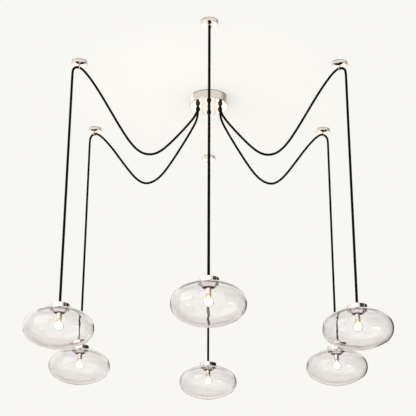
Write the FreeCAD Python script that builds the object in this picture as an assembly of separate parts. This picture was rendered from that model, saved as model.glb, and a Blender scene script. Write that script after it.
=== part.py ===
"""Cluster pendant: a ceiling canopy, six swagged cords over ceiling hooks, six glass shades.

Millimetres, +Z up. The origin is the centre of the hook circle on the ceiling plane, over the
middle of the canopy. Lamp 1 hangs towards -Y, and the others follow every sixth of a turn.
"""

import FreeCAD, Part
import math
import os

# ---- driving dimensions ----

LAMPS = 6
HOOK_CIRCLE_R = 713.0      # from the middle of the canopy to each hook
FIT = 0.05                 # radial clearance of a screwed or slid fit
SEAT = 0.3                 # gap between curved faces that rest on each other

CANOPY_TOP_R = 99.0
CANOPY_FACE_R = 96.0
CANOPY_DEPTH = 44.0
CANOPY_WALL = 1.6
CANOPY_LIP = 3.0           # straight edge at the ceiling, above the taper
CANOPY_EDGE_ROUND = 3.0

BAR_LENGTH = 150.0
BAR_WIDTH = 24.0
BAR_THICKNESS = 2.5
BAR_SLOT_SPACING = 88.9
BAR_SLOT_LENGTH = 14.0
BAR_SLOT_R = 2.4
STUD_R = 3.0
NUT_R = 8.0
NUT_HEIGHT = 8.0
NUT_ROUND = 3.5
NUT_WALL = 2.5             # metal over the end of the stud
EARTH_SCREW_X = 20.0
EARTH_SCREW_R = 2.0
EARTH_HEAD_R = 4.0
EARTH_HEAD_HEIGHT = 2.6
EARTH_SHANK_BELOW = 2.0

TERMINAL_LENGTH = 48.0
TERMINAL_WIDTH = 17.0
TERMINAL_HEIGHT = 13.0
TERMINAL_Y = 24.0
TERMINAL_WAYS = 6
TERMINAL_WAY_R = 1.8

CORD_R = 5.75
EXIT_CIRCLE_R = 65.0       # where the cords leave the canopy's face
GRIP_R = 11.0
GRIP_MOUTH_R = 8.0
GRIP_LENGTH = 11.0
GRIP_STUB_R = 7.6
GRIP_STUB_ABOVE = 6.0      # thread that stands above the canopy's inner face
GRIP_CORD_DEPTH = 7.0      # how far the cord's end sits in the grip's bore
LOCKNUT_FLATS = 21.0
LOCKNUT_HEIGHT = 4.0

PLATE_R = 40.5
PLATE_FACE_R = 38.0
PLATE_DEPTH = 15.0
PLATE_LIP = 3.0
PLATE_EDGE_ROUND = 2.0
FIXING_BORE_R = 2.5        # tapped for the stud of the ceiling anchor
FIXING_BORE_DEPTH = 8.0

HOOK_WIRE_R = 2.0
HOOK_BOWL_R = 8.5          # centreline of the bowl
HOOK_NECK_TURN = 75.0      # degrees from the stem to the bowl
HOOK_BOWL_TURN = 240.0     # degrees of bowl from the neck to the tip
HOOK_THREAD_DEPTH = 6.0    # stem that is screwed into the plate
CREST_DEPTH = 27.0         # from the ceiling to the middle of the cord over the hook
CREST_R = 31.0             # bend of the cord's centreline over the hook
SADDLE_TURNS = 4           # corners that make the bend over the hook
SADDLE_ANGLE = 130.0       # degrees of bend over the hook
SADDLE_TAIL = 9.0          # straight cord below the bend, down to the swing pivot

SHADE_R = 152.5
SHADE_HALF_HEIGHT = 90.0
SHADE_SIDE_R = 66.5        # roundness of the side; the crown and the bottom follow
SHADE_WALL = 3.0
SHADE_HOLE_R = 39.5
SHADE_CENTRE_DEPTH = 1305.0

CAP_R = 43.5
CAP_HEIGHT = 18.0
CAP_WALL = 2.0
CAP_EDGE_ROUND = 1.5
BOSS_R = 12.5
BOSS_HEIGHT = 10.0
BOSS_EDGE_ROUND = 1.5
SEAT_DEPTH = 5.0           # from the boss's top to the middle of the cord's rounded end
MOUTH_FLARE = 20.0         # degrees, half angle of the boss's mouth
WIRE_WAY_R = 2.5
NIPPLE_R = 5.0
NIPPLE_LENGTH = 11.0

BOWL_R = 38.5
BOWL_BOTTOM_R = 26.0
BOWL_WALL = 1.5
BOWL_STRAIGHT = 21.0
BOWL_TAPER = 13.5
LUG_REACH = 5.5
LUG_WIDTH = 10.0
LUG_THICKNESS = 2.0
LUGS = 3

SLEEVE_R = 11.5
SLEEVE_WALL = 1.0
SLEEVE_LENGTH = 60.0
HOLDER_SHELL_R = 10.3
HOLDER_LENGTH = 47.0
HOLDER_BORE_DEPTH = 30.0

BULB_BASE_R = 6.0
BULB_TIP_R = 2.0
BULB_TIP_LENGTH = 1.5
BULB_COLLAR_R = 12.0
BULB_COLLAR_LOW_R = 10.0
BULB_COLLAR_HEIGHT = 9.0
BULB_NECK_R = 8.5
BULB_NECK_LENGTH = 4.0
BULB_GLOBE_R = 21.5
BULB_GLOBE_DROP = 24.5     # from the collar's underside to the middle of the globe
BULB_SHOULDER = 58.0       # degrees above the globe's middle where the neck joins it
BULB_WALL = 1.0

# The swag of one cord, as (distance from the middle, height) from the canopy to the hook.
# The points of the bend over the hook follow from the hook's own sizes.
SWAG = [
    (65.5, -84.0),
    (81.0, -121.0),
    (117.0, -174.0),
    (171.0, -245.0),
    (233.0, -321.0),
    (283.0, -370.0),
    (331.0, -392.0),
    (380.0, -390.0),
    (427.0, -358.0),
    (473.0, -305.0),
    (531.0, -226.0),
    (590.0, -144.0),
    (637.0, -86.0),
    (671.0, -50.0),
]

# ---- sizes that follow ----

STEP_ANGLE = 360.0 / LAMPS
SADDLE_CENTRE_Z = -CREST_DEPTH - CREST_R
DROP_CIRCLE_R = HOOK_CIRCLE_R + CREST_R
SWAG_END_Z = SADDLE_CENTRE_Z - SADDLE_TAIL
SWING_PIVOT_Z = SWAG_END_Z - SEAT - CORD_R
SHADE_Z = -SHADE_CENTRE_DEPTH

# the arc of the shade's crown and bottom, tangent to the arc of its side
SIDE_CENTRE_R = SHADE_R - SHADE_SIDE_R
CROWN_R = (SHADE_R**2 + SHADE_HALF_HEIGHT**2 - 2 * SHADE_R * SHADE_SIDE_R) / (
    2 * (SHADE_HALF_HEIGHT - SHADE_SIDE_R)
)
CROWN_CENTRE_DROP = CROWN_R - SHADE_HALF_HEIGHT


def crown_z(radius, inset):
    """Height of the crown over the shade's middle, on its outside for an inset of 0."""
    return math.sqrt((CROWN_R - inset) ** 2 - radius**2) - CROWN_CENTRE_DROP


CAP_RIM_Z = SHADE_Z + crown_z(CAP_R - CAP_WALL, 0.0) + SEAT
CAP_TOP_Z = CAP_RIM_Z + CAP_HEIGHT
CAP_INNER_Z = CAP_TOP_Z - CAP_WALL
BOSS_TOP_Z = CAP_TOP_Z + BOSS_HEIGHT
ROCK_PIVOT_Z = BOSS_TOP_Z - SEAT_DEPTH
NIPPLE_END_Z = CAP_INNER_Z - NIPPLE_LENGTH
BOWL_BRIM_Z = CAP_INNER_Z - BOWL_STRAIGHT
BOWL_MOUTH_Z = BOWL_BRIM_Z - BOWL_TAPER
LUG_TOP_Z = SHADE_Z + crown_z(BOWL_R + LUG_REACH, SHADE_WALL) - SEAT
SLEEVE_TOP_Z = CAP_INNER_Z - BOWL_WALL
SLEEVE_END_Z = SLEEVE_TOP_Z - SLEEVE_LENGTH
HOLDER_END_Z = NIPPLE_END_Z - HOLDER_LENGTH
BASE_TOP_Z = HOLDER_END_Z + HOLDER_BORE_DEPTH - BULB_TIP_LENGTH
COLLAR_TOP_Z = SLEEVE_END_Z - SEAT
COLLAR_END_Z = COLLAR_TOP_Z - BULB_COLLAR_HEIGHT

Z_AXIS = FreeCAD.Vector(0, 0, 1)
MIDDLE = FreeCAD.Vector(0, 0, 0)


# ---- helpers ----


def radial(r, z):
    """A point of a turned outline, on the +X side of the Z axis."""
    return FreeCAD.Vector(r, 0, z)


def on_lamp_1(across, r, z):
    """A point of lamp 1, r from the middle of the canopy and across to its right."""
    return FreeCAD.Vector(across, -r, z)


def line(start, end):
    return Part.LineSegment(start, end).toShape()


def arc(start, through, end):
    return Part.Arc(start, through, end).toShape()


def turned(edges):
    """A solid of revolution about Z from the closed outline that the edges make."""
    outline = Part.Wire(Part.__sortEdges__(edges))
    solid = Part.Face(outline).revolve(MIDDLE, Z_AXIS, 360)
    return solid if solid.ShapeType == "Solid" else solid.Solids[0]


def turned_polygon(points):
    """A solid of revolution about Z from the corners (r, z) of its outline."""
    corners = [radial(r, z) for r, z in points]
    closed = corners + corners[:1]
    return turned([line(a, b) for a, b in zip(closed, closed[1:])])


def rod(radius, bottom, top):
    """An upright round bar on the Z axis."""
    return Part.makeCylinder(radius, top - bottom, radial(0, bottom), Z_AXIS)


def ring_edges(solid, z):
    """The circles of a turned solid that lie at one height."""
    level = [e for e in solid.Edges if abs(e.BoundBox.ZMin - z) < 1e-6 and e.BoundBox.ZLength < 1e-6]
    return [e for e in level if isinstance(e.Curve, Part.Circle)]


def outer_ring(solid, z):
    """The widest circle of a turned solid at one height."""
    return max(ring_edges(solid, z), key=lambda edge: edge.Curve.Radius)


def moved(shape, radius):
    """A turned piece set on lamp 1's side, radius from the middle."""
    copy = shape.copy()
    copy.translate(FreeCAD.Vector(0, -radius, 0))
    return copy


def around(shape, place):
    """A piece of lamp 1 turned to another place of the circle."""
    copy = shape.copy()
    copy.rotate(MIDDLE, Z_AXIS, STEP_ANGLE * place)
    return copy


def all_round(shape):
    """The same piece at every place of the circle, as separate solids."""
    return Part.makeCompound([around(shape, place) for place in range(LAMPS)])


def save(shape, node):
    shape.exportStep(os.path.join("parts", node + ".step"))


def cord_tube(corners, radius):
    """A round cord along straight runs joined by tangent arcs as large as the runs allow."""
    runs = [(b - a).Length for a, b in zip(corners, corners[1:])]
    edges = []
    here = corners[0]
    for i in range(1, len(corners) - 1):
        back = (corners[i - 1] - corners[i]).normalize()
        ahead = (corners[i + 1] - corners[i]).normalize()
        half_turn = (math.pi - back.getAngle(ahead)) / 2
        setback = 0.45 * min(runs[i - 1], runs[i])
        bend = setback / math.tan(half_turn)
        start = corners[i] + back * setback
        end = corners[i] + ahead * setback
        inward = (back + ahead).normalize()
        middle = corners[i] + inward * (bend / math.cos(half_turn) - bend)
        edges += [line(here, start), arc(start, middle, end)]
        here = end
    edges.append(line(here, corners[-1]))
    path = Part.Wire(edges)
    heading = (corners[1] - corners[0]).normalize()
    section = Part.Wire([Part.makeCircle(radius, corners[0], heading)])
    tube = path.makePipeShell([section], True, False)
    return tube if tube.ShapeType == "Solid" else Part.Solid(tube.Shells[0])


# ---- pieces on the ceiling ----


def drum(top_r, face_r, depth, lip, edge_round):
    """A turned drum under the ceiling, with a straight lip, a taper and a rounded lower edge."""
    solid = turned_polygon([(0, 0), (top_r, 0), (top_r, -lip), (face_r, -depth), (0, -depth)])
    return solid.makeFillet(edge_round, [outer_ring(solid, -depth)])


def canopy_cover():
    outside = drum(CANOPY_TOP_R, CANOPY_FACE_R, CANOPY_DEPTH, CANOPY_LIP, CANOPY_EDGE_ROUND)
    inside = drum(
        CANOPY_TOP_R - CANOPY_WALL,
        CANOPY_FACE_R - CANOPY_WALL,
        CANOPY_DEPTH - CANOPY_WALL,
        CANOPY_LIP,
        CANOPY_EDGE_ROUND - CANOPY_WALL,
    )
    cover = outside.cut(inside)
    cord_hole = moved(rod(GRIP_STUB_R + FIT, -CANOPY_DEPTH, 0), EXIT_CIRCLE_R)
    stud_hole = rod(STUD_R + FIT, -CANOPY_DEPTH, 0)
    return cover.cut(all_round(cord_hole)).cut(stud_hole)


def mounting_bar():
    bar = Part.makeBox(
        BAR_LENGTH,
        BAR_WIDTH,
        BAR_THICKNESS,
        FreeCAD.Vector(-BAR_LENGTH / 2, -BAR_WIDTH / 2, -BAR_THICKNESS),
    )
    bar = bar.cut(rod(STUD_R + FIT, -BAR_THICKNESS, 0))
    for side in (-1, 1):
        bar = bar.cut(bar_slot(side * BAR_SLOT_SPACING / 2))
    earth_hole = rod(EARTH_SCREW_R + FIT, -BAR_THICKNESS, 0)
    earth_hole.translate(FreeCAD.Vector(EARTH_SCREW_X, 0, 0))
    return bar.cut(earth_hole)


def bar_slot(middle_x):
    """The slotted hole that takes a screw of the ceiling box."""
    straight = BAR_SLOT_LENGTH - 2 * BAR_SLOT_R
    corner = FreeCAD.Vector(middle_x - straight / 2, -BAR_SLOT_R, -BAR_THICKNESS)
    slot = Part.makeBox(straight, 2 * BAR_SLOT_R, BAR_THICKNESS, corner)
    for end in (-1, 1):
        round_end = rod(BAR_SLOT_R, -BAR_THICKNESS, 0)
        round_end.translate(FreeCAD.Vector(middle_x + end * straight / 2, 0, 0))
        slot = slot.fuse(round_end)
    return slot.removeSplitter()


def centre_stud():
    return rod(STUD_R, -CANOPY_DEPTH - NUT_HEIGHT + NUT_WALL, 0)


def canopy_nut():
    """The domed nut that draws the canopy up to the ceiling."""
    top = -CANOPY_DEPTH
    bottom = top - NUT_HEIGHT
    nut = rod(NUT_R, bottom, top)
    nut = nut.makeFillet(NUT_ROUND, [outer_ring(nut, bottom)])
    return nut.cut(rod(STUD_R + FIT, bottom + NUT_WALL, top))


def terminal_block():
    """The insulated strip that joins the six cords to the supply."""
    floor = -CANOPY_DEPTH + CANOPY_WALL
    corner = FreeCAD.Vector(-TERMINAL_LENGTH / 2, TERMINAL_Y - TERMINAL_WIDTH / 2, floor)
    block = Part.makeBox(TERMINAL_LENGTH, TERMINAL_WIDTH, TERMINAL_HEIGHT, corner)
    pitch = TERMINAL_LENGTH / TERMINAL_WAYS
    for way in range(TERMINAL_WAYS):
        x = corner.x + pitch * (way + 0.5)
        start = FreeCAD.Vector(x, corner.y, floor + TERMINAL_HEIGHT / 2)
        block = block.cut(Part.makeCylinder(TERMINAL_WAY_R, TERMINAL_WIDTH, start, FreeCAD.Vector(0, 1, 0)))
    return block


def earth_screw():
    head_bottom = -BAR_THICKNESS - EARTH_HEAD_HEIGHT
    screw = rod(EARTH_SCREW_R, head_bottom, 0).fuse(rod(EARTH_HEAD_R, head_bottom, -BAR_THICKNESS))
    screw = screw.fuse(rod(EARTH_SCREW_R, head_bottom - EARTH_SHANK_BELOW, head_bottom)).removeSplitter()
    screw.translate(FreeCAD.Vector(EARTH_SCREW_X, 0, 0))
    return screw


def cord_grip():
    """The strain relief of one cord: a tapered nose under the canopy and a threaded stub in it."""
    face = -CANOPY_DEPTH
    stub_top = face + CANOPY_WALL + GRIP_STUB_ABOVE
    shoulder = face - GRIP_LENGTH / 2
    mouth = face - GRIP_LENGTH
    outline = [
        (CORD_R + FIT, mouth),
        (GRIP_MOUTH_R, mouth),
        (GRIP_R, shoulder),
        (GRIP_R, face),
        (GRIP_STUB_R, face),
        (GRIP_STUB_R, stub_top),
        (CORD_R + FIT, stub_top),
    ]
    return moved(turned_polygon(outline), EXIT_CIRCLE_R)


def grip_locknut():
    floor = -CANOPY_DEPTH + CANOPY_WALL
    corner_r = LOCKNUT_FLATS / 2 / math.cos(math.pi / 6)
    corners = [
        FreeCAD.Vector(corner_r * math.cos(k * math.pi / 3), corner_r * math.sin(k * math.pi / 3), floor)
        for k in range(7)
    ]
    hexagon = Part.Face(Part.makePolygon(corners))
    nut = hexagon.extrude(FreeCAD.Vector(0, 0, LOCKNUT_HEIGHT))
    return moved(nut.cut(rod(GRIP_STUB_R + FIT, floor, floor + LOCKNUT_HEIGHT)), EXIT_CIRCLE_R)


def hook_plate():
    """The round plate of one hook, tapped above for the ceiling anchor and below for the hook."""
    plate = drum(PLATE_R, PLATE_FACE_R, PLATE_DEPTH, PLATE_LIP, PLATE_EDGE_ROUND)
    plate = plate.cut(rod(FIXING_BORE_R, -FIXING_BORE_DEPTH, 0))
    plate = plate.cut(rod(HOOK_WIRE_R + FIT, -PLATE_DEPTH, -PLATE_DEPTH + HOOK_THREAD_DEPTH))
    return moved(plate, HOOK_CIRCLE_R)


def ceiling_hook():
    """An open wire hook whose bowl stands square to the cord and carries it."""
    bowl_z = -CREST_DEPTH - CORD_R - SEAT - HOOK_WIRE_R + HOOK_BOWL_R

    def bowl_point(angle):
        turn = math.radians(angle)
        return on_lamp_1(HOOK_BOWL_R * math.cos(turn), HOOK_CIRCLE_R, bowl_z + HOOK_BOWL_R * math.sin(turn))

    neck = math.radians(HOOK_NECK_TURN)
    joint = bowl_point(HOOK_NECK_TURN)
    neck_r = joint.x / (1 - math.cos(neck))
    neck_top = joint.z + neck_r * math.sin(neck)
    half = neck / 2
    neck_middle = on_lamp_1(
        neck_r * (1 - math.cos(half)),
        HOOK_CIRCLE_R,
        neck_top - neck_r * math.sin(half),
    )
    stem_top = on_lamp_1(0, HOOK_CIRCLE_R, -PLATE_DEPTH + HOOK_THREAD_DEPTH)
    stem_end = on_lamp_1(0, HOOK_CIRCLE_R, neck_top)
    tip_angle = HOOK_NECK_TURN - HOOK_BOWL_TURN
    path = Part.Wire(
        [
            line(stem_top, stem_end),
            arc(stem_end, neck_middle, joint),
            arc(joint, bowl_point((HOOK_NECK_TURN + tip_angle) / 2), bowl_point(tip_angle)),
        ]
    )
    section = Part.Wire([Part.makeCircle(HOOK_WIRE_R, stem_top, FreeCAD.Vector(0, 0, -1))])
    hook = path.makePipeShell([section], True, False)
    return hook if hook.ShapeType == "Solid" else Part.Solid(hook.Shells[0])


def swag_corners():
    """The corners of one swag's route, from its grip over the hook to the swing pivot."""
    start_z = -CANOPY_DEPTH - GRIP_LENGTH + GRIP_CORD_DEPTH
    corners = [(EXIT_CIRCLE_R, start_z)] + SWAG
    step = SADDLE_ANGLE / SADDLE_TURNS
    corner_r = CREST_R / math.cos(math.radians(step / 2))
    for turn in range(SADDLE_TURNS):
        angle = math.radians(SADDLE_ANGLE - step * (turn + 0.5))
        corners.append(
            (
                HOOK_CIRCLE_R + corner_r * math.cos(angle),
                SADDLE_CENTRE_Z + corner_r * math.sin(angle),
            )
        )
    corners.append((DROP_CIRCLE_R, SWAG_END_Z))
    return [on_lamp_1(0, r, z) for r, z in corners]


# ---- pieces of one lamp ----


def drop_cord():
    """The plumb stretch of cord, with rounded ends that turn in their seats."""
    cord = rod(CORD_R, ROCK_PIVOT_Z, SWING_PIVOT_Z)
    for z in (SWING_PIVOT_Z, ROCK_PIVOT_Z):
        cord = cord.fuse(Part.makeSphere(CORD_R, radial(0, z)))
    return moved(cord.removeSplitter(), DROP_CIRCLE_R)


def shade_cap():
    """The turned cap, with the cord's boss above it and the threaded nipple inside it."""
    cup = turned_polygon(
        [
            (0, CAP_INNER_Z),
            (CAP_R - CAP_WALL, CAP_INNER_Z),
            (CAP_R - CAP_WALL, CAP_RIM_Z),
            (CAP_R, CAP_RIM_Z),
            (CAP_R, CAP_TOP_Z),
            (0, CAP_TOP_Z),
        ]
    )
    cup = cup.makeFillet(CAP_EDGE_ROUND, [outer_ring(cup, CAP_TOP_Z)])
    boss = rod(BOSS_R, CAP_TOP_Z, BOSS_TOP_Z)
    boss = boss.makeFillet(BOSS_EDGE_ROUND, [outer_ring(boss, BOSS_TOP_Z)])
    cap = cup.fuse(boss).fuse(rod(NIPPLE_R, NIPPLE_END_Z, CAP_INNER_Z)).removeSplitter()
    seat_r = CORD_R + SEAT
    mouth_r = seat_r + SEAT_DEPTH * math.tan(math.radians(MOUTH_FLARE))
    mouth = Part.makeCone(seat_r, mouth_r, SEAT_DEPTH, radial(0, ROCK_PIVOT_Z), Z_AXIS)
    seat = Part.makeSphere(seat_r, radial(0, ROCK_PIVOT_Z))
    way = rod(WIRE_WAY_R, NIPPLE_END_Z, BOSS_TOP_Z)
    return moved(cap.cut(mouth).cut(seat).cut(way), DROP_CIRCLE_R)


def shade_outline(inset):
    """The arcs of half the shade's section, from its lowest point to the rim of its hole."""
    lean = math.atan2(CROWN_CENTRE_DROP, SIDE_CENTRE_R)
    side_r = SHADE_SIDE_R - inset
    crown_r = CROWN_R - inset
    low_centre = SHADE_Z + CROWN_CENTRE_DROP
    joint_r = SIDE_CENTRE_R + side_r * math.cos(lean)
    joint_z = side_r * math.sin(lean)
    bottom = radial(0, low_centre - crown_r)
    halfway = (math.pi / 2 + lean) / 2
    under = radial(crown_r * math.cos(halfway), low_centre - crown_r * math.sin(halfway))
    low_joint = radial(joint_r, SHADE_Z - joint_z)
    side = radial(SIDE_CENTRE_R + side_r, SHADE_Z)
    high_joint = radial(joint_r, SHADE_Z + joint_z)
    crown = radial((joint_r + SHADE_HOLE_R) / 2, SHADE_Z + crown_z((joint_r + SHADE_HOLE_R) / 2, inset))
    rim = radial(SHADE_HOLE_R, SHADE_Z + crown_z(SHADE_HOLE_R, inset))
    arcs = [arc(bottom, under, low_joint), arc(low_joint, side, high_joint), arc(high_joint, crown, rim)]
    return bottom, arcs, rim


def glass_shade():
    """The blown glass shade: a flattened round shell, open only under the cap."""
    bottom, outside, rim = shade_outline(0.0)
    inner_bottom, inside, inner_rim = shade_outline(SHADE_WALL)
    edges = outside + [line(rim, inner_rim)] + inside + [line(inner_bottom, bottom)]
    return moved(turned(edges), DROP_CIRCLE_R)


def shade_bowl():
    """The metal bowl under the cap, with the lugs that carry the glass by its rim."""
    bowl = turned_polygon(
        [
            (NIPPLE_R + FIT, CAP_INNER_Z),
            (BOWL_R, CAP_INNER_Z),
            (BOWL_R, BOWL_BRIM_Z),
            (BOWL_BOTTOM_R, BOWL_MOUTH_Z),
            (BOWL_BOTTOM_R - BOWL_WALL, BOWL_MOUTH_Z),
            (BOWL_R - BOWL_WALL, BOWL_BRIM_Z),
            (BOWL_R - BOWL_WALL, CAP_INNER_Z - BOWL_WALL),
            (NIPPLE_R + FIT, CAP_INNER_Z - BOWL_WALL),
        ]
    )
    inner_r = BOWL_R - BOWL_WALL / 2
    for lug in range(LUGS):
        tab = Part.makeBox(
            BOWL_R + LUG_REACH - inner_r,
            LUG_WIDTH,
            LUG_THICKNESS,
            FreeCAD.Vector(inner_r, -LUG_WIDTH / 2, LUG_TOP_Z - LUG_THICKNESS),
        )
        tab.rotate(MIDDLE, Z_AXIS, 360.0 / LUGS * (lug + 0.5))
        bowl = bowl.fuse(tab)
    return moved(bowl.removeSplitter(), DROP_CIRCLE_R)


def socket_sleeve():
    sleeve = turned_polygon(
        [
            (NIPPLE_R + FIT, SLEEVE_TOP_Z),
            (SLEEVE_R, SLEEVE_TOP_Z),
            (SLEEVE_R, SLEEVE_END_Z),
            (SLEEVE_R - SLEEVE_WALL, SLEEVE_END_Z),
            (SLEEVE_R - SLEEVE_WALL, SLEEVE_TOP_Z - SLEEVE_WALL),
            (NIPPLE_R + FIT, SLEEVE_TOP_Z - SLEEVE_WALL),
        ]
    )
    return moved(sleeve, DROP_CIRCLE_R)


def lampholder():
    """The insulated holder that the bulb screws into, hung from the nipple inside the sleeve."""
    body = rod(HOLDER_SHELL_R, HOLDER_END_Z, NIPPLE_END_Z)
    bore_top = HOLDER_END_Z + HOLDER_BORE_DEPTH
    bore = rod(BULB_BASE_R + FIT, HOLDER_END_Z, bore_top)
    way = rod(WIRE_WAY_R, bore_top, NIPPLE_END_Z)
    return moved(body.cut(bore).cut(way), DROP_CIRCLE_R)


def bulb():
    """The screw base with its contact and collar, and the blown globe that closes on the collar."""
    base = rod(BULB_BASE_R, COLLAR_TOP_Z, BASE_TOP_Z)
    base = base.fuse(rod(BULB_TIP_R, BASE_TOP_Z, BASE_TOP_Z + BULB_TIP_LENGTH))
    collar = Part.makeCone(
        BULB_COLLAR_LOW_R,
        BULB_COLLAR_R,
        BULB_COLLAR_HEIGHT,
        radial(0, COLLAR_END_Z),
        Z_AXIS,
    )
    base = base.fuse(collar).removeSplitter()
    globe_z = COLLAR_END_Z - BULB_GLOBE_DROP
    neck_end = COLLAR_END_Z - BULB_NECK_LENGTH

    def outline(inset):
        ball_r = BULB_GLOBE_R - inset
        shoulder = math.radians(BULB_SHOULDER)
        joint = radial(ball_r * math.cos(shoulder), globe_z + ball_r * math.sin(shoulder))
        halfway = (shoulder - math.pi / 2) / 2
        side = radial(ball_r * math.cos(halfway), globe_z + ball_r * math.sin(halfway))
        return BULB_NECK_R - inset, joint, side, radial(0, globe_z - ball_r)

    neck_r, joint, side, pole = outline(0.0)
    inner_neck_r, inner_joint, inner_side, inner_pole = outline(BULB_WALL)
    glass = turned(
        [
            line(radial(inner_neck_r, COLLAR_END_Z), radial(neck_r, COLLAR_END_Z)),
            line(radial(neck_r, COLLAR_END_Z), radial(neck_r, neck_end)),
            line(radial(neck_r, neck_end), joint),
            arc(joint, side, pole),
            line(pole, inner_pole),
            arc(inner_pole, inner_side, inner_joint),
            line(inner_joint, radial(inner_neck_r, neck_end)),
            line(radial(inner_neck_r, neck_end), radial(inner_neck_r, COLLAR_END_Z)),
        ]
    )
    return Part.makeCompound([moved(base, DROP_CIRCLE_R), moved(glass, DROP_CIRCLE_R)])


def main():
    os.makedirs("parts", exist_ok=True)
    save(canopy_cover(), "canopy_cover")
    save(mounting_bar(), "mounting_bar")
    save(centre_stud(), "centre_stud")
    save(canopy_nut(), "canopy_nut")
    save(terminal_block(), "terminal_block")
    save(earth_screw(), "earth_screw")
    save(all_round(cord_grip()), "cord_grips")
    save(all_round(grip_locknut()), "grip_locknuts")
    save(all_round(hook_plate()), "hook_plates")
    save(all_round(ceiling_hook()), "ceiling_hooks")
    lamp_pieces = {
        "swag_cord": cord_tube(swag_corners(), CORD_R),
        "drop_cord": drop_cord(),
        "shade_cap": shade_cap(),
        "glass_shade": glass_shade(),
        "shade_bowl": shade_bowl(),
        "socket_sleeve": socket_sleeve(),
        "lampholder": lampholder(),
        "bulb": bulb(),
    }
    for place in range(LAMPS):
        for name, shape in lamp_pieces.items():
            save(around(shape, place), "%s_%d" % (name, place + 1))


main()
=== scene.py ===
"""Dressed model of a cluster pendant: nickel fittings, cloth cords, blown glass shades and lit bulbs.

Metres, +Z up. The origin is the centre of the hook circle on the ceiling. Lamp 1 hangs towards
-Y, and the others follow every sixth of a turn.
"""

import math

import bmesh
import bpy
from bpy.props import FloatProperty, FloatVectorProperty, IntProperty, PointerProperty
from mathutils import Matrix, Quaternion, Vector, kdtree, noise


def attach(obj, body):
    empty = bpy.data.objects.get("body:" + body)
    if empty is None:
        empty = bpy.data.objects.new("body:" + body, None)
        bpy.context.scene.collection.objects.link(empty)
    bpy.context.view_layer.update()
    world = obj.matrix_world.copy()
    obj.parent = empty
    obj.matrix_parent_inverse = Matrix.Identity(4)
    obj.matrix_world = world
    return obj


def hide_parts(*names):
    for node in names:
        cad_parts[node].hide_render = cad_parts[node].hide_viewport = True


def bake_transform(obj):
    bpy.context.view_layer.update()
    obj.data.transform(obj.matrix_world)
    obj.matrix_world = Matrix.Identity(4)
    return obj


bl_info = {
    "name": "Cluster Pendant",
    "version": (1, 0, 0),
    "blender": (4, 5, 0),
    "location": "View3D > Sidebar > Pendant",
    "description": "Builds the visible pieces of a six-lamp cluster pendant around its packed frame",
    "category": "Add Mesh",
}

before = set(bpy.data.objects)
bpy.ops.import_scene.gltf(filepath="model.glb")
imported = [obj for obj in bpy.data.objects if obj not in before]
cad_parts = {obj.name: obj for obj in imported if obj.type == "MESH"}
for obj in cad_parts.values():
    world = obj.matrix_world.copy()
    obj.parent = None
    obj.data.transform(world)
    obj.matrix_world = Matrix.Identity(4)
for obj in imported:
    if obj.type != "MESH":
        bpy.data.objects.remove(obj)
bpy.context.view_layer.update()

# ---- the pendant's sizes, in metres ----

# Roundings of edges, from one that is just broken to a broad one.
BROKEN_EDGE = 0.0003
FINE_ROUND = 0.0004
SMALL_ROUND = 0.0005
LIP_ROUND = 0.0006
SOFT_ROUND = 0.0008
FULL_ROUND = 0.0015
PLATE_ROUND = 0.002
BROAD_ROUND = 0.003

LAMPS = 6
STEP_ANGLE = math.tau / LAMPS
HOOK_CIRCLE_R = 0.713
DROP_CIRCLE_R = 0.744

CANOPY_TOP_R = 0.099
CANOPY_FACE_R = 0.096
CANOPY_DEPTH = 0.044
CANOPY_WALL = 0.0016
NUT_R = 0.008
NUT_HEIGHT = 0.008
NUT_ROUND = 0.0035
PLATE_R = 0.0405
PLATE_FACE_R = 0.038
PLATE_DEPTH = 0.015
LIP = 0.003

EXIT_CIRCLE_R = 0.065
GRIP_R = 0.011
GRIP_MOUTH_R = 0.008
GRIP_LENGTH = 0.011
GRIP_STUB_R = 0.0076
GRIP_STUB_ABOVE = 0.0076
CORD_WAY_R = 0.0058

HOOK_WIRE_R = 0.002
HOOK_BOWL_R = 0.0085
HOOK_BOWL_Z = -0.02655
HOOK_NECK_TURN = math.radians(75)
HOOK_BOWL_TURN = math.radians(240)
HOOK_STEM_TOP = -0.009

SHADE_R = 0.1525
SHADE_HALF_HEIGHT = 0.090
SHADE_SIDE_R = 0.0665
SHADE_WALL = 0.003
SHADE_HOLE_R = 0.0395
SHADE_Z = -1.305
# The inside's unevenness is read this far off the outside's. A finer one is added to both.
INSIDE_SHIFT = Vector((0, 0, 7.3))
FINE_SHIFT = Vector((3.1, 0, 0))
FINE_SCALE = 2.3
FINE_SHARE = 0.4

CAP_R = 0.0435
CAP_WALL = 0.002
CAP_RIM_Z = -1.21838
CAP_TOP_Z = -1.20038
CAP_INNER_Z = CAP_TOP_Z - CAP_WALL
BOSS_R = 0.0125
BOSS_TOP_Z = -1.19038
BOSS_SEAT_Z = -1.19538
BOSS_SEAT_R = 0.00605
BOSS_SEAT_DEPTH = 0.0055
MOUTH_FLARE = math.radians(20)
WIRE_WAY_R = 0.0025
NIPPLE_R = 0.005
NIPPLE_END_Z = -1.21338

BOWL_R = 0.0385
BOWL_MOUTH_R = 0.026
BOWL_WALL = 0.0015
BOWL_BRIM_Z = -1.22338
BOWL_MOUTH_Z = -1.23688
LUGS = 3
LUG_REACH = 0.0055
LUG_WIDTH = 0.010
LUG_THICKNESS = 0.002
LUG_TOP_Z = -1.2225

SLEEVE_R = 0.0115
SLEEVE_WALL = 0.001
SLEEVE_TOP_Z = -1.20388
SLEEVE_END_Z = -1.26388

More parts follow.
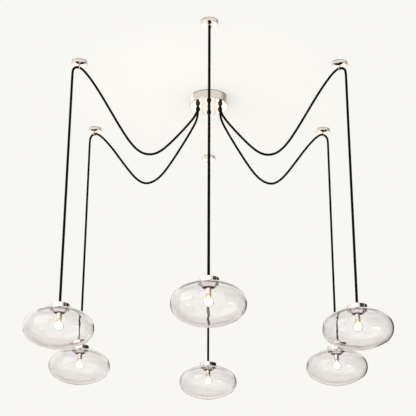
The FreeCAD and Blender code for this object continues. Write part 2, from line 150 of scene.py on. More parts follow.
BULB_TIP_Z = -1.23038
BULB_BASE_TOP_Z = -1.23188
BULB_BASE_R = 0.006
BULB_TIP_R = 0.002
COLLAR_TOP_Z = -1.26418
COLLAR_END_Z = -1.27318
COLLAR_R = 0.012
COLLAR_LOW_R = 0.010
COLLAR_LIP = 0.0012
COLLAR_STEP = 0.0004
BULB_NECK_R = 0.0085
BULB_NECK_END_Z = -1.27718
BULB_GLOBE_R = 0.0215
BULB_GLOBE_Z = -1.29768
BULB_SHOULDER = math.radians(58)
BULB_WALL = 0.001
GLOW_INSET = 0.0032

# One cord's route as (distance from the middle, height): out of the grip, down and up the swag,
# over the hook, and plumb down into the cap.
CORD_ROUTE = [
    (0.0650, -0.0480),
    (0.0655, -0.0840),
    (0.0810, -0.1210),
    (0.1170, -0.1740),
    (0.1710, -0.2450),
    (0.2330, -0.3210),
    (0.2830, -0.3700),
    (0.3310, -0.3920),
    (0.3800, -0.3900),
    (0.4270, -0.3580),
    (0.4730, -0.3050),
    (0.5310, -0.2260),
    (0.5900, -0.1440),
    (0.6370, -0.0860),
    (0.6710, -0.0500),
    (0.7000, -0.0284),
    (0.7179, -0.0261),
    (0.7343, -0.0337),
    (0.7440, -0.0490),
    (0.7440, -0.1100),
    (0.7440, -1.1500),
    (0.7440, -1.1939),
]


# ---- shader sums ----


def plug(tree, slot, value):
    """Links a wire to a node's socket, or sets the socket's own value."""
    if isinstance(value, Wire):
        tree.links.new(value.socket, slot)
    else:
        slot.default_value = value


class Wire:
    """A shader socket that plain sums can use: each operator adds its Math node."""

    def __init__(self, tree, socket):
        self.tree = tree
        self.socket = socket

    def math(self, operation, *values):
        node = self.tree.nodes.new("ShaderNodeMath")
        node.operation = operation
        for slot, value in zip(node.inputs, values):
            plug(self.tree, slot, value)
        return Wire(self.tree, node.outputs[0])

    def __add__(self, other):
        return self.math("ADD", self, other)

    def __radd__(self, other):
        return self.math("ADD", other, self)

    def __sub__(self, other):
        return self.math("SUBTRACT", self, other)

    def __rsub__(self, other):
        return self.math("SUBTRACT", other, self)

    def __mul__(self, other):
        return self.math("MULTIPLY", self, other)

    def __rmul__(self, other):
        return self.math("MULTIPLY", other, self)

    def __truediv__(self, other):
        return self.math("DIVIDE", self, other)

    def __rtruediv__(self, other):
        return self.math("DIVIDE", other, self)

    def __pow__(self, other):
        return self.math("POWER", self, other)

    def sine(self):
        return self.math("SINE", self)

    def clamped(self):
        return self.math("MINIMUM", self.math("MAXIMUM", self, 0.0), 1.0)


class Shading:
    """The node tree of one material or world, built from node calls and sums."""

    def __init__(self, owner):
        owner.use_nodes = True
        self.owner = owner
        self.tree = owner.node_tree
        self.tree.nodes.clear()

    def node(self, kind, settings=None, sockets=None, output=0):
        """Adds a node: its settings come first, then the values or links of its sockets."""
        made = self.tree.nodes.new(kind)
        for name, value in (settings or {}).items():
            setattr(made, name, value)
        for key, value in (sockets or {}).items():
            plug(self.tree, made.inputs[key], value)
        return Wire(self.tree, made.outputs[output])

    def place(self):
        """Object coordinates, which are the pendant's own metres."""
        return self.node("ShaderNodeTexCoord", output="Object")

    def noise(self, scale, detail):
        sockets = {"Vector": self.place(), "Scale": scale, "Detail": detail}
        return self.node("ShaderNodeTexNoise", None, sockets)

    def parts(self, vector):
        """The three numbers of a vector."""
        split = self.node("ShaderNodeSeparateXYZ", None, {"Vector": vector})
        return [Wire(self.tree, out) for out in split.socket.node.outputs]

    def blend(self, share, low, high):
        """A colour between two, by share."""
        sockets = {0: share, 6: low, 7: high}
        return self.node("ShaderNodeMix", {"data_type": "RGBA"}, sockets, output=2)

    def bump(self, height, distance, strength):
        sockets = {"Height": height, "Distance": distance, "Strength": strength}
        return self.node("ShaderNodeBump", None, sockets)

    def path(self, *kinds):
        """1 where any of these Light Path outputs is set or has counted a bounce, and 0 elsewhere."""
        rays = self.node("ShaderNodeLightPath").socket.node
        total = 0.0
        for kind in kinds:
            total = Wire(self.tree, rays.outputs[kind]) + total
        return total.clamped()

    def mix(self, share, first, second):
        """A shader between two, by share."""
        return self.node("ShaderNodeMixShader", None, {0: share, 1: first, 2: second})

    def surface(self, **sockets):
        named = {name.replace("_", " "): value for name, value in sockets.items()}
        return self.node("ShaderNodeBsdfPrincipled", None, named)

    def show(self, surface, volume=None):
        for_world = isinstance(self.owner, bpy.types.World)
        made = self.tree.nodes.new("ShaderNodeOutputWorld" if for_world else "ShaderNodeOutputMaterial")
        plug(self.tree, made.inputs["Surface"], surface)
        if volume is not None:
            plug(self.tree, made.inputs["Volume"], volume)
        return self.owner


def shading(name):
    return Shading(bpy.data.materials.new(name))


def solid(colour, share=1.0):
    """A colour at that share of its brightness, with full alpha."""
    return (*(share * value for value in colour), 1.0)


# ---- finishes ----


def polished_nickel(colours):
    """Warm polished nickel: soft clouding, and fine marks left by the polishing mop."""
    s = shading("polished nickel")
    cloud = s.noise(14.0, 3.0)
    marks = s.noise(900.0, 4.0)
    colour = s.blend(cloud, solid(colours.nickel, 0.96), solid(colours.nickel))
    return s.show(
        s.surface(
            Base_Color=colour,
            Metallic=1.0,
            Roughness=0.05 + cloud * 0.05 + marks * 0.03,
            Normal=s.bump(marks, 0.00002, 0.35),
        )
    )


def lacquered_brass(colours):
    s = shading("lacquered brass")
    cloud = s.noise(60.0, 3.0)
    colour = s.blend(cloud, solid(colours.brass, 0.85), solid(colours.brass))
    return s.show(s.surface(Base_Color=colour, Metallic=1.0, Roughness=0.16 + cloud * 0.12, Coat_Weight=0.3))


def zinc_plate(colours):
    """Bright zinc plating with its cloudy blue-grey grain."""
    s = shading("zinc plate")
    grain = s.noise(160.0, 5.0)
    cloud = s.noise(30.0, 2.0)
    colour = s.blend(grain, solid(colours.zinc, 0.8), solid(colours.zinc))
    return s.show(
        s.surface(
            Base_Color=colour,
            Metallic=1.0,
            Roughness=0.26 + cloud * 0.16,
            Normal=s.bump(grain, 0.00004, 0.5),
        )
    )


def braided_cloth(colours, sizes):
    """Black braided cotton: two sets of strands that cross over and under along the cord, with the hollows
    between them painted darker as painted shade.
    """
    s = shading("braided cloth")
    along, round_it, _ = s.parts(s.node("ShaderNodeTexCoord", output="UV"))
    turns = round_it * sizes.weave_strands
    rises = along / sizes.weave_pitch
    over = ((rises + turns) * math.tau).sine()
    under = ((rises - turns) * math.tau).sine()
    weave = over * under * 0.5 + 0.5
    fuzz = s.noise(1400.0, 3.0)
    wear = s.noise(9.0, 2.0)
    # Painted shade: the weave darkens the braid's hollows against its tops. Fuzz and wear vary the tone at
    # random.
    shade = (weave * 0.7 + fuzz * 0.3 + wear * 0.2 - 0.1).clamped()
    return s.show(
        s.surface(
            Base_Color=s.blend(shade, solid(colours.cloth_hollow_shade), solid(colours.cloth_light)),
            Roughness=0.78 + fuzz * 0.18,
            Specular_IOR_Level=0.08,
            Normal=s.bump(weave + fuzz * 0.35, 0.00035, 0.9),
        )
    )


def moulded(name, colour, roughness):
    """Moulded plastic with a fine matt grain."""
    s = shading(name)
    grain = s.noise(700.0, 3.0)
    cloud = s.noise(25.0, 2.0)
    return s.show(
        s.surface(
            Base_Color=s.blend(cloud, solid(colour, 0.82), solid(colour)),
            Roughness=roughness + grain * 0.12,
            Normal=s.bump(grain, 0.00005, 0.5),
        )
    )


def blown_glass(colours):
    """Clear blown glass: faint ripples left by the blowing, and a pale warm-grey body colour."""
    s = shading("blown glass")
    ripple = s.noise(30.0, 1.0)
    streak = s.noise(7.0, 2.0)
    shader = s.surface(
        Base_Color=s.blend(streak, solid(colours.glass, 0.985), solid(colours.glass)),
        Roughness=0.0,
        IOR=1.5,
        Transmission_Weight=1.0,
        Normal=s.bump(ripple, 0.0004, 0.08),
    )
    body = s.node(
        "ShaderNodeVolumeAbsorption",
        None,
        {"Color": solid(colours.glass_body), "Density": colours.glass_depth},
    )
    return s.show(shader, body)


def bulb_glass(colours):
    s = shading("bulb glass")
    cloud = s.noise(70.0, 2.0)
    return s.show(
        s.surface(
            Base_Color=s.blend(cloud, solid(colours.bulb_glass, 0.96), solid(colours.bulb_glass)),
            Roughness=0.0,
            IOR=1.45,
            Transmission_Weight=1.0,
        )
    )


def bulb_glow(colours):
    """The lit bulb: white where the globe is full, and warmer up in the neck, where the warm tint is a
    painted reflection of the brass collar.
    """
    s = shading("bulb glow")
    height = s.parts(s.place())[2]
    # The neck's warmer light is a painted reflection of the brass collar.
    upward = ((height - BULB_GLOBE_Z) / (BULB_NECK_END_Z - BULB_GLOBE_Z)).clamped() ** 2.0
    colour = s.blend(upward, solid(colours.glow), solid(colours.neck_glow_brass_reflection))
    return s.show(
        s.surface(
            Base_Color=solid(colours.glow),
            Roughness=0.4,
            Emission_Color=colour,
            Emission_Strength=colours.glow_strength,
        )
    )


# ---- shaping ----


def spun(bm, geom, angle, steps, centre=(0, 0, 0), axis=(0, 0, 1), **options):
    """Sweeps or repeats geometry about an axis, and returns what stands at the end."""
    made = bmesh.ops.spin(bm, geom=geom, cent=centre, axis=axis, angle=angle, steps=steps, **options)
    return made["geom_last"]


def spin_full(bm, geometry, steps):
    """Turns an outline all the way round the Z axis into a closed surface."""
    spun(bm, geometry, math.tau, steps, use_merge=True)
    bmesh.ops.remove_doubles(bm, verts=bm.verts, dist=1e-6)
    bmesh.ops.recalc_face_normals(bm, faces=bm.faces)


def round_edges(bm, edges, width, segments=3):
    bmesh.ops.bevel(
        bm,
        geom=edges,
        offset=width,
        offset_type="OFFSET",
        affect="EDGES",
        segments=segments,
        profile=0.5,
        material=-1,
        clamp_overlap=True,
    )


def on_ring(edge, radius, height):
    return all(
        abs(v.co.z - height) < 1e-6 and abs(math.hypot(v.co.x, v.co.y) - radius) < 1e-5 for v in edge.verts
    )


def turned(*corners, steps=96):
    """A turned solid about the Z axis, from its outline's (radius, height) corners, some with a rounding."""
    bm = bmesh.new()
    verts = [bm.verts.new((radius, 0, height)) for radius, height, *_ in corners]
    off_axis = corners[0][0] > 0 or corners[-1][0] > 0
    ends = verts[1:] + verts[:1] if off_axis else verts[1:]
    edges = [bm.edges.new(pair) for pair in zip(verts, ends)]
    spin_full(bm, verts + edges, steps)
    for radius, height, *rounding in corners:
        if rounding:
            round_edges(bm, [e for e in bm.edges if on_ring(e, radius, height)], *rounding)
    return bm


def draw_arc(bm, start, centre, angle, steps):
    """Draws an arc in the XZ plane from a vertex, anticlockwise if positive, and returns its end."""
    ends = spun(bm, [start], -angle, steps, (centre[0], 0, centre[1]), (0, 1, 0))
    return next(part for part in ends if isinstance(part, bmesh.types.BMVert))


def draw_line(bm, start, end):
    """Draws a straight edge in the XZ plane from a vertex, and returns its end."""
    vert = bm.verts.new((end[0], 0, end[1]))
    bm.edges.new((start, vert))
    return vert


def box(low, high):
    """A closed block between two corners."""
    bm = bmesh.new()
    bmesh.ops.create_cube(bm, size=1.0)
    size = Vector(high) - Vector(low)
    bmesh.ops.scale(bm, vec=size, verts=bm.verts)
    bmesh.ops.translate(bm, vec=(Vector(low) + Vector(high)) / 2, verts=bm.verts)
    return bm


def rectangle(width, height):
    """A flat sheet about the origin, facing up."""
    bm = bmesh.new()
    bmesh.ops.create_grid(bm, x_segments=1, y_segments=1, size=0.5)
    bmesh.ops.scale(bm, vec=(width, height, 1), verts=bm.verts)
    return bm


def as_mesh(name, bm):
    mesh = bpy.data.meshes.new(name)
    bm.to_mesh(mesh)
    bm.free()
    return mesh


def joined(*parts):
    """Several solids as one mesh."""
    whole = bmesh.new()
    for part in parts:
        scratch = as_mesh("scratch", part)
        whole.from_mesh(scratch)
        bpy.data.meshes.remove(scratch)
    return whole


def set_round(bm, radius):
    """Sets a solid made round the Z axis at all six places of a circle."""
    bmesh.ops.translate(bm, vec=(0, -radius, 0), verts=bm.verts)
    pattern = bm.verts[:] + bm.edges[:] + bm.faces[:]
    spun(bm, pattern, math.tau - STEP_ANGLE, LAMPS - 1, use_duplicate=True)
    return bm


def to_mesh(name, bm, sharp=50.0):
    """The finished mesh, smooth but for edges sharper than that many degrees."""
    for face in bm.faces:
        face.smooth = True
    mesh = as_mesh(name, bm)
    mesh.set_sharp_from_angle(angle=math.radians(sharp))
    return mesh


def new_object(name, data):
    thing = bpy.data.objects.new(name, data)
    bpy.context.scene.collection.objects.link(thing)
    return thing


def add_piece(name, mesh, finish, body, node):
    """Adds a mesh as a piece of the pendant, on its body and in place of its CAD node."""
    piece = new_object(name, mesh)
    mesh.materials.append(finish)
    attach(piece, body)
    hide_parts(node)
    return piece


def add_to_ceiling(name, bm, finish, node):
    """Adds a solid that stays on the ceiling."""
    return add_piece(name, to_mesh(name, bm), finish, "ceiling_set", node)


def add_edged(node, finish, body):
    """Adds a CAD node's own solids with rounded edges."""
    bm = bmesh.new()
    bm.from_mesh(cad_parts[node].data)
    bmesh.ops.remove_doubles(bm, verts=bm.verts, dist=1e-6)
    bmesh.ops.dissolve_limit(bm, angle_limit=math.radians(1), verts=bm.verts, edges=bm.edges)
    sharp = [edge for edge in bm.edges if edge.is_manifold and edge.calc_face_angle() > math.radians(35)]
    round_edges(bm, sharp, sizes().edge_rounding, 2)
    name = node + "_dressed"
    add_piece(name, to_mesh(name, bm, 30.0), finish, body, node)


def even_shading(piece):
    """Keeps wide flat faces flat in a polished finish, with the turn of light in the bevels."""
    modifier = piece.modifiers.new("even shading", "WEIGHTED_NORMAL")
    modifier.keep_sharp = True


def lamp_turn(lamp):
    """Turns lamp 1's place to another lamp's."""
    return Matrix.Rotation(STEP_ANGLE * (lamp - 1), 4, "Z")


def lamp_place(lamp):
    """Takes a solid made round the Z axis to a lamp's plumb line."""
    return lamp_turn(lamp) @ Matrix.Translation((0, -DROP_CIRCLE_R, 0))


def add_to_lamps(name, bm, finish, node):
    """Adds a solid made round the Z axis to all six lamps, placed in each one's mesh."""
    pattern = to_mesh(name, bm)
    pieces = []
    for lamp in range(1, LAMPS + 1):
        mesh = pattern.copy()
        mesh.transform(lamp_place(lamp))
        pieces.append(add_piece(f"{name}_{lamp}", mesh, finish, f"lamp_{lamp}", f"{node}_{lamp}"))
    bpy.data.meshes.remove(pattern)
    return pieces


# ---- settings ----


class PendantSizes(bpy.types.PropertyGroup):
    """Sizes of the finish work on the pendant."""

    cord_diameter: FloatProperty(
        name="Cord Diameter", description="Diameter of the cloth-covered cord", default=0.0115, unit="LENGTH"
    )
    weave_pitch: FloatProperty(
        name="Weave Pitch", description="Length of one crossing of the braid", default=0.0032, unit="LENGTH"
    )
    weave_strands: IntProperty(
        name="Strands", description="Strands round the braid in each direction", default=8
    )
    glass_wave: FloatProperty(
        name="Glass Wave", description="Depth of a shade's unevenness", default=0.00012, unit="LENGTH"
    )
    glass_wave_length: FloatProperty(
        name="Glass Wave Length", description="Distance between uneven places", default=0.055, unit="LENGTH"
    )
    edge_rounding: FloatProperty(
        name="Edge Rounding", description="Rounding of small edges", default=BROKEN_EDGE, unit="LENGTH"
    )


class PendantColours(bpy.types.PropertyGroup):
    """Colours of the pendant's finishes."""

    nickel: FloatVectorProperty(
        name="Nickel", description="Polished nickel", subtype="COLOR", default=(0.80, 0.735, 0.68)
    )
    brass: FloatVectorProperty(
        name="Brass", description="Collar of the bulb", subtype="COLOR", default=(0.88, 0.70, 0.38)
    )
    zinc: FloatVectorProperty(
        name="Zinc", description="Fittings inside the canopy", subtype="COLOR", default=(0.62, 0.63, 0.64)
    )
    # The braid's hollows take this darker colour as painted shade.
    cloth_hollow_shade: FloatVectorProperty(
        name="Cloth Dark", description="Braid's hollows", subtype="COLOR", default=(0.0012, 0.0011, 0.0011)
    )
    cloth_light: FloatVectorProperty(
        name="Cloth Light", description="Braid's tops", subtype="COLOR", default=(0.0045, 0.004, 0.004)
    )
    nylon: FloatVectorProperty(
        name="Nylon", description="Cord grips", subtype="COLOR", default=(0.005, 0.005, 0.005)
    )
    phenolic: FloatVectorProperty(
        name="Phenolic", description="Lampholder bodies", subtype="COLOR", default=(0.03, 0.022, 0.018)
    )
    terminal: FloatVectorProperty(
        name="Terminal", description="Terminal block", subtype="COLOR", default=(0.78, 0.76, 0.70)
    )
    glass: FloatVectorProperty(
        name="Glass", description="Surface of the shades", subtype="COLOR", default=(0.995, 0.99, 0.99)
    )
    glass_body: FloatVectorProperty(
        name="Glass Body", description="Colour in the wall", subtype="COLOR", default=(0.84, 0.78, 0.765)
    )
    glass_depth: FloatProperty(
        name="Glass Depth", description="Density of the colour, per metre", default=40.0
    )
    # Near-black painted onto the inside of each bowl, standing in for the shade there.
    bowl_painted_shade: FloatVectorProperty(
        name="Bowl Lining", description="Inside of a bowl", subtype="COLOR", default=(0.006, 0.0055, 0.005)
    )
    bulb_glass: FloatVectorProperty(
        name="Bulb Glass", description="Clear shell of the bulb", subtype="COLOR", default=(1.0, 0.93, 0.86)
    )
    glow: FloatVectorProperty(
        name="Glow", description="Light of the bulb", subtype="COLOR", default=(1.0, 0.92, 0.80)
    )
    # The neck's warm tint is a painted reflection of the brass collar.
    neck_glow_brass_reflection: FloatVectorProperty(
        name="Glow Neck", description="Light in the neck", subtype="COLOR", default=(1.0, 0.80, 0.48)
    )
    glow_strength: FloatProperty(
        name="Glow Strength", description="Brightness of the lit bulb", default=1.2
    )


class PendantStudio(bpy.types.PropertyGroup):
    """Camera and light."""

    lens: FloatProperty(name="Lens", description="Focal length", default=86.8, unit="CAMERA")
    shift_up: FloatProperty(name="Shift", description="Upward shift of the lens", default=0.101)
    distance: FloatProperty(
        name="Distance", description="From the camera to its target", default=4.828, unit="LENGTH"
    )
    elevation: FloatProperty(
        name="Elevation", description="Pitch of the camera", default=math.radians(19.47), unit="ROTATION"
    )
    roll: FloatProperty(
        name="Roll", description="Roll of the camera", default=math.radians(0.2), unit="ROTATION"
    )
    target: FloatVectorProperty(
        name="Target", description="Camera's aim", subtype="XYZ", default=(-0.00273, 0.0, -0.8168)
    )
    backdrop: FloatVectorProperty(
        name="Backdrop", description="Behind the pendant", subtype="COLOR", default=(0.939, 0.930, 0.896)
    )
    floor_tone: FloatVectorProperty(
        name="Floor Tone", description="Mirrored far floor", subtype="COLOR", default=(0.80, 0.73, 0.68)
    )
    floor_behind: FloatVectorProperty(
        name="Floor Behind", description="Mirrored near floor", subtype="COLOR", default=(0.34, 0.28, 0.24)
    )
    world_light: FloatProperty(
        name="World Light", description="Strength of light from all round", default=0.92
    )
    ceiling_shadow: FloatProperty(
        name="Ceiling Shadow", description="Ceiling's share that takes shadow", default=0.8
    )
    shadow_reach: FloatProperty(
        name="Shadow Reach", description="Where the ceiling's shadow ends", default=0.75, unit="LENGTH"
    )


# ---- pieces ----


def sizes():
    return bpy.context.scene.pendant_sizes


def colours():
    return bpy.context.scene.pendant_colours


class PENDANT_OT_canopy(bpy.types.Operator):
    """Build the canopy with its nut, cord grips and the fittings inside it"""

    bl_idname = "pendant.canopy"
    bl_label = "Canopy"

    def execute(self, context):
        nickel = polished_nickel(colours())
        wall = CANOPY_WALL
        cover = turned(
            (0.0, -CANOPY_DEPTH),
            (CANOPY_FACE_R, -CANOPY_DEPTH, BROAD_ROUND),
            (CANOPY_TOP_R, -LIP, SOFT_ROUND),
            (CANOPY_TOP_R, 0.0, FINE_ROUND),
            (CANOPY_TOP_R - wall, 0.0, FINE_ROUND),
            (CANOPY_TOP_R - wall, -LIP),
            (CANOPY_FACE_R - wall, -CANOPY_DEPTH + wall, BROAD_ROUND - wall),
            (0.0, -CANOPY_DEPTH + wall),
            steps=128,
        )
        even_shading(add_to_ceiling("canopy", cover, nickel, "canopy_cover"))
        nut = turned(
            (0.0, -CANOPY_DEPTH - NUT_HEIGHT),
            (NUT_R, -CANOPY_DEPTH - NUT_HEIGHT, NUT_ROUND),
            (NUT_R, -CANOPY_DEPTH),
            (0.0, -CANOPY_DEPTH),
            steps=48,
        )
        add_to_ceiling("cap_nut", nut, nickel, "canopy_nut")
        self.grips()
        self.fittings_inside()
        return {"FINISHED"}

    def grips(self):
        nylon = moulded("black nylon", colours().nylon, 0.42)
        grip = turned(
            (CORD_WAY_R, -CANOPY_DEPTH - GRIP_LENGTH, BROKEN_EDGE),
            (GRIP_MOUTH_R, -CANOPY_DEPTH - GRIP_LENGTH, SOFT_ROUND),
            (GRIP_R, -CANOPY_DEPTH - GRIP_LENGTH / 2, SOFT_ROUND),
            (GRIP_R, -CANOPY_DEPTH),
            (GRIP_STUB_R, -CANOPY_DEPTH),
            (GRIP_STUB_R, -CANOPY_DEPTH + GRIP_STUB_ABOVE, FINE_ROUND),
            (CORD_WAY_R, -CANOPY_DEPTH + GRIP_STUB_ABOVE, FINE_ROUND),
            steps=32,
        )
        grips = set_round(grip, EXIT_CIRCLE_R)
        add_to_ceiling("cord_grips_dressed", grips, nylon, "cord_grips")

    def fittings_inside(self):
        zinc = zinc_plate(colours())
        terminal = moulded("terminal plastic", colours().terminal, 0.38)
        for node in ("mounting_bar", "centre_stud", "earth_screw", "grip_locknuts"):
            add_edged(node, zinc, "ceiling_set")
        add_edged("terminal_block", terminal, "ceiling_set")


class PENDANT_OT_hooks(bpy.types.Operator):
    """Build the six ceiling plates and their wire hooks"""

    bl_idname = "pendant.hooks"
    bl_label = "Ceiling Hooks"

    def execute(self, context):
        nickel = polished_nickel(colours())
        plate = turned(
            (0.0, 0.0),
            (PLATE_R, 0.0, FINE_ROUND),
            (PLATE_R, -LIP, LIP_ROUND),
            (PLATE_FACE_R, -PLATE_DEPTH, PLATE_ROUND),
            (0.0, -PLATE_DEPTH),
            steps=64,
        )
        plates = set_round(plate, HOOK_CIRCLE_R)
        even_shading(add_to_ceiling("plates", plates, nickel, "hook_plates"))
        hooks = set_round(self.wire_hook(), HOOK_CIRCLE_R)
        add_to_ceiling("hooks", hooks, nickel, "ceiling_hooks")
        return {"FINISHED"}

    def wire_hook(self):
        """An open hook bent from one wire: a stem, a neck to one side and a bowl under the cord."""
        turn = HOOK_NECK_TURN
        neck_x = HOOK_BOWL_R * math.cos(turn) / (1 - math.cos(turn))
        neck_z = HOOK_BOWL_Z + (HOOK_BOWL_R + neck_x) * math.sin(turn)
        bm = bmesh.new()
        ring = bmesh.ops.create_circle(bm, cap_ends=False, segments=20, radius=HOOK_WIRE_R)["verts"]
        bmesh.ops.translate(bm, vec=(0, 0, HOOK_STEM_TOP), verts=ring)
        made = bmesh.ops.extrude_edge_only(bm, edges=bm.edges[:])["geom"]
        low = [part for part in made if isinstance(part, bmesh.types.BMVert)]
        bmesh.ops.translate(bm, vec=(0, 0, neck_z - HOOK_STEM_TOP), verts=low)
        edges = [part for part in made if isinstance(part, bmesh.types.BMEdge)]
        section = [edge for edge in edges if set(edge.verts) <= set(low)]
        section = self.bent(bm, section, (neck_x, neck_z), turn, 8)
        self.bent(bm, section, (0.0, HOOK_BOWL_Z), -HOOK_BOWL_TURN, 28)
        loose = [edge for edge in bm.edges if edge.is_boundary]
        caps = bmesh.ops.holes_fill(bm, edges=loose, sides=0)["faces"]
        bmesh.ops.recalc_face_normals(bm, faces=bm.faces)
        tip = min(caps, key=lambda face: face.calc_center_median().z)
        round_edges(bm, list(tip.edges), HOOK_WIRE_R * 0.6, 4)
        return bm

    def bent(self, bm, section, centre, angle, steps):
        """Bends the wire's open end on round a centre, and returns its new end."""
        ring = section + list(dict.fromkeys(vert for edge in section for vert in edge.verts))
        ends = spun(bm, ring, -angle, steps, (centre[0], 0, centre[1]), (0, 1, 0))
        return [part for part in ends if isinstance(part, bmesh.types.BMEdge)]


class PENDANT_OT_cords(bpy.types.Operator):
    """Hang the six cloth-covered cords from the canopy, over the hooks and down to the caps"""

    bl_idname = "pendant.cords"
    bl_label = "Cords"

    def execute(self, context):
        cloth = braided_cloth(colours(), sizes())
        for lamp in range(1, LAMPS + 1):
            self.hang(lamp, cloth)
        return {"FINISHED"}

    def hang(self, lamp, cloth):
        turn = lamp_turn(lamp)
        diameter = sizes().cord_diameter
        route = [turn @ Vector((0, -r, z)) for r, z in CORD_ROUTE]
        line = self.curve_mesh(route, 0.0)
        path = [vert.co.copy() for vert in line.vertices]
        bpy.data.meshes.remove(line)
        mesh = self.curve_mesh(route, diameter / 2)
        self.lay_weave(mesh, path)
        mesh.name = f"cord_{lamp}"
        mesh.materials.append(cloth)
        cord = new_object(mesh.name, mesh)
        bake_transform(cord)
        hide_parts(f"swag_cord_{lamp}", f"drop_cord_{lamp}")

    def curve_mesh(self, route, radius):
        """The mesh of a smooth curve with these control points: a line, or a tube of that radius."""
        curve = bpy.data.curves.new("route", "CURVE")
        curve.dimensions = "3D"
        curve.bevel_depth = radius
        curve.bevel_resolution = 3
        curve.use_fill_caps = radius > 0
        spline = curve.splines.new("NURBS")
        spline.points.add(len(route) - 1)
        for point, place in zip(spline.points, route):
            point.co = (*place, 1.0)
        spline.order_u = 3
        spline.use_endpoint_u = True
        spline.resolution_u = 8
        holder = new_object("route", curve)
        mesh = bpy.data.meshes.new_from_object(holder)
        bpy.data.objects.remove(holder)
        bpy.data.curves.remove(curve)
        return mesh

    def lay_weave(self, mesh, path):
        """Sets the UV map's first number to the distance along the cord, so that the braid is even."""
        along = [0.0]
        for a, b in zip(path, path[1:]):
            along.append(along[-1] + (b - a).length)
        tree = kdtree.KDTree(len(path))
        for number, point in enumerate(path):
            tree.insert(point, number)
        tree.balance()
        distance = [along[tree.find(vert.co)[1]] for vert in mesh.vertices]
        weave = mesh.uv_layers[0].data
        for polygon in mesh.polygons:
            polygon.use_smooth = True
            for corner in polygon.loop_indices:
                weave[corner].uv.x = distance[mesh.loops[corner].vertex_index]


class PENDANT_OT_fittings(bpy.types.Operator):
    """Build each lamp's cap, bowl, sleeve and lampholder"""

    bl_idname = "pendant.fittings"
    bl_label = "Lamp Fittings"

    def execute(self, context):
        nickel = polished_nickel(colours())
        for piece in add_to_lamps("cap", self.cap(), nickel, "shade_cap"):
            even_shading(piece)
        # The bowl's inside is painted near-black, as painted shade.
        painted_shade = moulded("bowl lining", colours().bowl_painted_shade, 0.6)
        for piece in add_to_lamps("bowl", self.bowl(), nickel, "shade_bowl"):
            piece.data.materials.append(painted_shade)
        add_to_lamps("sleeve", self.sleeve(), nickel, "socket_sleeve")
        holder = moulded("dark phenolic", colours().phenolic, 0.3)
        for lamp in range(1, LAMPS + 1):
            add_edged(f"lampholder_{lamp}", holder, f"lamp_{lamp}")
        return {"FINISHED"}

    def cap(self):
        mouth_r = BOSS_SEAT_R + (BOSS_TOP_Z - BOSS_SEAT_Z) * math.tan(MOUTH_FLARE)
        return turned(
            (WIRE_WAY_R, BOSS_SEAT_Z - BOSS_SEAT_DEPTH),
            (BOSS_SEAT_R, BOSS_SEAT_Z, SOFT_ROUND),
            (mouth_r, BOSS_TOP_Z, SMALL_ROUND),
            (BOSS_R, BOSS_TOP_Z, FULL_ROUND),
            (BOSS_R, CAP_TOP_Z, SOFT_ROUND),
            (CAP_R, CAP_TOP_Z, FULL_ROUND),
            (CAP_R, CAP_RIM_Z, BROKEN_EDGE),
            (CAP_R - CAP_WALL, CAP_RIM_Z, BROKEN_EDGE),
            (CAP_R - CAP_WALL, CAP_INNER_Z, SOFT_ROUND),
            (NIPPLE_R, CAP_INNER_Z),
            (NIPPLE_R, NIPPLE_END_Z, BROKEN_EDGE),
            (WIRE_WAY_R, NIPPLE_END_Z),
        )

    def bowl(self):
        """The bowl, its inside painted near-black as painted shade, with the lugs that carry the glass."""
        wall = BOWL_WALL
        bowl = turned(
            (NIPPLE_R, CAP_INNER_Z),
            (BOWL_R, CAP_INNER_Z, SOFT_ROUND),
            (BOWL_R, BOWL_BRIM_Z, BROAD_ROUND),
            (BOWL_MOUTH_R, BOWL_MOUTH_Z, FINE_ROUND),
            (BOWL_MOUTH_R - wall, BOWL_MOUTH_Z, FINE_ROUND),
            (BOWL_R - wall, BOWL_BRIM_Z, BROAD_ROUND),
            (BOWL_R - wall, CAP_INNER_Z - wall, SOFT_ROUND),
            (NIPPLE_R, CAP_INNER_Z - wall),
        )
        # Faces that look inwards take the second material, the near-black painted shade inside the bowl.
        for face in bowl.faces:
            middle = face.calc_center_median()
            face.material_index = int(face.normal.dot(Vector((middle.x, middle.y, 0))) < 0)
        parts = [bowl]
        for place in range(LUGS):
            lug = box(
                (BOWL_R - wall / 2, -LUG_WIDTH / 2, LUG_TOP_Z - LUG_THICKNESS),
                (BOWL_R + LUG_REACH, LUG_WIDTH / 2, LUG_TOP_Z),
            )
            round_edges(lug, lug.edges[:], FINE_ROUND, 2)
            turn = Matrix.Rotation(math.tau / LUGS * (place + 0.5), 3, "Z")
            bmesh.ops.rotate(lug, cent=(0, 0, 0), matrix=turn, verts=lug.verts)
            parts.append(lug)
        return joined(*parts)

    def sleeve(self):
        wall = SLEEVE_WALL
        return turned(
            (NIPPLE_R, SLEEVE_TOP_Z),
            (SLEEVE_R, SLEEVE_TOP_Z, SOFT_ROUND),
            (SLEEVE_R, SLEEVE_END_Z, FINE_ROUND),
            (SLEEVE_R - wall, SLEEVE_END_Z, FINE_ROUND),
            (SLEEVE_R - wall, SLEEVE_TOP_Z - wall),
            (NIPPLE_R, SLEEVE_TOP_Z - wall),
            steps=64,
        )


